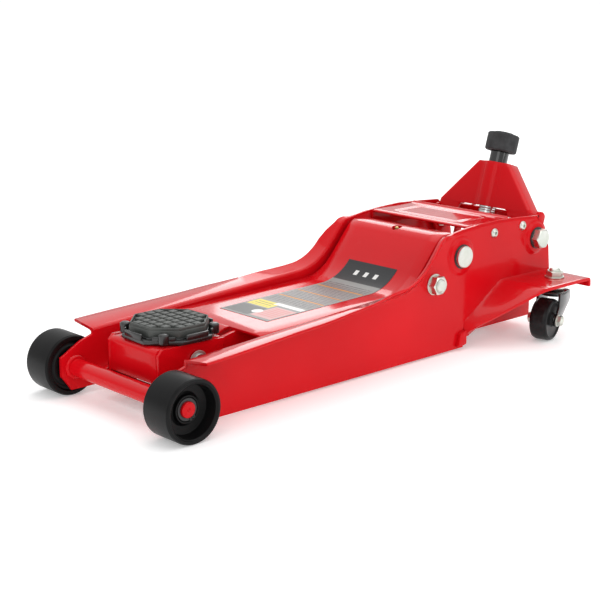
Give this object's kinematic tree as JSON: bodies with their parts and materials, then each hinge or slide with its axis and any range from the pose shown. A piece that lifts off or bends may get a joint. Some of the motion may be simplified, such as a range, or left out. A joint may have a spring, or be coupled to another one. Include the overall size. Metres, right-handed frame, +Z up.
{
  "type": "car jack",
  "caption": "Long low-profile hydraulic trolley jack with a levelled swivel saddle, a cranked lift arm, swivel casters and a handle socket.",
  "frame": {"origin": "middle of the object's box on the floor", "axes": "+X to the left of a person holding the handle, +Y from the saddle to the handle, +Z up"},
  "size_m": [0.316, 0.7186, 0.2627],
  "materials": {
    "red_paint": "gloss",
    "black_plastic": "satin",
    "zinc": "satin",
    "dark_steel": "satin",
    "rubber": "matte",
    "foam": "matte",
    "label": "satin",
    "brass": "satin"
  },
  "bodies": {
    "frame": {"side_plate_left": "red_paint", "side_plate_right": "red_paint", "inner_plate_left": "red_paint", "inner_plate_right": "red_paint", "front_axle": "red_paint", "wheel_retaining_rings": "dark_steel", "front_cross_tube": "red_paint", "rear_cross_plate": "red_paint", "arm_pivot_shaft": "zinc", "arm_pivot_washers": "dark_steel", "link_pivot_bolts": "zinc", "link_pivot_nuts": "zinc", "pump_block": "red_paint", "reservoir_tube": "red_paint", "cylinder_tube": "dark_steel", "gland_nut": "zinc", "oil_filler_plug": "black_plastic", "pump_block_bolts": "zinc", "socket_pivot_bolts": "zinc", "socket_washers": "dark_steel", "rear_top_cover": "red_paint", "rear_cover_screws": "zinc", "caster_cups": "zinc", "caster_stud_nuts": "zinc"},
    "front_wheel_left_body": {"front_wheel_left": "black_plastic"},
    "front_wheel_right_body": {"front_wheel_right": "black_plastic"},
    "lift_arm_body": {"lift_arm": "red_paint", "grease_fitting": "brass", "label_plate": "label", "bracket_pin": "zinc", "bracket_pin_clips": "zinc", "ram_arm_pin": "zinc"},
    "bracket_body": {"saddle_bracket": "red_paint"},
    "saddle_body": {"saddle_tray": "dark_steel", "saddle_pad": "rubber"},
    "link_left_body": {"levelling_link_left": "red_paint", "link_front_pin": "zinc"},
    "link_right_body": {"levelling_link_right": "red_paint"},
    "ram_body": {"ram": "zinc"},
    "ram_link_body": {"ram_links": "dark_steel", "ram_crosshead_pin": "zinc"},
    "plunger_body": {"pump_plunger": "zinc", "pump_spring": "zinc"},
    "roller_body": {"pump_roller": "zinc"},
    "valve_body": {"release_valve": "zinc"},
    "socket_body": {"handle_socket": "red_paint", "roller_bracket": "red_paint", "pump_roller_pin": "zinc", "handle_lock_screw": "zinc"},
    "handle_body": {"handle_tube": "dark_steel", "handle_sleeve": "foam", "release_coupler": "zinc"},
    "caster_left_body": {"caster_fork_left": "dark_steel", "caster_axle_left": "zinc"},
    "caster_right_body": {"caster_fork_right": "dark_steel", "caster_axle_right": "zinc"},
    "caster_wheel_left_body": {"caster_wheel_left": "black_plastic"},
    "caster_wheel_right_body": {"caster_wheel_right": "black_plastic"}
  },
  "joints": [
    {"name": "front_wheel_left_spin", "type": "hinge", "parent": "frame", "child": "front_wheel_left_body", "pos_m": [0.112, -0.32329, 0.036], "axis": [1, 0, 0], "continuous": true},
    {"name": "front_wheel_right_spin", "type": "hinge", "parent": "frame", "child": "front_wheel_right_body", "pos_m": [-0.112, -0.32329, 0.036], "axis": [1, 0, 0], "continuous": true},
    {"name": "lift", "type": "hinge", "parent": "frame", "child": "lift_arm_body", "pos_m": [0, 0.14671, 0.1255], "axis": [-1, 0, 0], "range_deg": [0, 66]},
    {"name": "bracket_level", "type": "hinge", "parent": "lift_arm_body", "child": "bracket_body", "pos_m": [0, -0.24929, 0.058], "axis": [-1, 0, 0], "range_deg": [-66, 0]},
    {"name": "saddle_turn", "type": "hinge", "parent": "bracket_body", "child": "saddle_body", "pos_m": [0, -0.25129, 0.08], "axis": [0, 0, 1], "continuous": true},
    {"name": "link_left_swing", "type": "hinge", "parent": "frame", "child": "link_left_body", "pos_m": [0.057, 0.09771, 0.0965], "axis": [-1, 0, 0], "range_deg": [0, 66]},
    {"name": "link_right_swing", "type": "hinge", "parent": "frame", "child": "link_right_body", "pos_m": [-0.057, 0.09771, 0.0965], "axis": [-1, 0, 0], "range_deg": [0, 66]},
    {"name": "ram_stroke", "type": "slide", "parent": "frame", "child": "ram_body", "axis": [0, -1, 0], "range_m": [0, 0.06536]},
    {"name": "ram_link_swing", "type": "hinge", "parent": "lift_arm_body", "child": "ram_link_body", "pos_m": [0, 0.17939, 0.07518], "axis": [-1, 0, 0], "range_deg": [-66, 0]},
    {"name": "handle_pump", "type": "hinge", "parent": "frame", "child": "socket_body", "pos_m": [0, 0.30021, 0.129], "axis": [-1, 0, 0], "range_deg": [0, 40]},
    {"name": "plunger_stroke", "type": "slide", "parent": "frame", "child": "plunger_body", "axis": [0, -1, 0], "range_m": [0, 0.02], "deforming": ["pump_spring"]},
    {"name": "roller_spin", "type": "hinge", "parent": "socket_body", "child": "roller_body", "pos_m": [-0.05, 0.31421, 0.103], "axis": [1, 0, 0], "continuous": true},
    {"name": "handle_twist", "type": "hinge", "parent": "socket_body", "child": "handle_body", "pos_m": [0, 0.32306, 0.20567], "axis": [0, 0.2857, 0.9583], "range_deg": [-90, 90]},
    {"name": "valve_turn", "type": "hinge", "parent": "frame", "child": "valve_body", "pos_m": [0, 0.30021, 0.1], "axis": [0, 0, 1], "range_deg": [-90, 90]},
    {"name": "caster_left_swivel", "type": "hinge", "parent": "frame", "child": "caster_left_body", "pos_m": [0.125, 0.29971, 0.07], "axis": [0, 0, 1], "continuous": true},
    {"name": "caster_left_spin", "type": "hinge", "parent": "caster_left_body", "child": "caster_wheel_left_body", "pos_m": [0.13081, 0.27642, 0.028], "axis": [0.9703, 0.2419, 0], "continuous": true},
    {"name": "caster_right_swivel", "type": "hinge", "parent": "frame", "child": "caster_right_body", "pos_m": [-0.125, 0.29971, 0.07], "axis": [0, 0, 1], "continuous": true},
    {"name": "caster_right_spin", "type": "hinge", "parent": "caster_right_body", "child": "caster_wheel_right_body", "pos_m": [-0.13081, 0.27642, 0.028], "axis": [0.9703, -0.2419, 0], "continuous": true}
  ],
  "couplings": [
    {"joint": "bracket_level", "follows": "lift", "ratio": -1},
    {"joint": "link_left_swing", "follows": "lift", "ratio": 1},
    {"joint": "link_right_swing", "follows": "lift", "ratio": 1},
    {"joint": "ram_stroke", "follows": "lift", "m_per_rad": 0.05674},
    {"joint": "ram_link_swing", "follows": "lift", "ratio": -1},
    {"joint": "plunger_stroke", "follows": "handle_pump", "m_per_rad": 0.02863},
    {"joint": "valve_turn", "follows": "handle_twist", "ratio": 1}
  ]
}
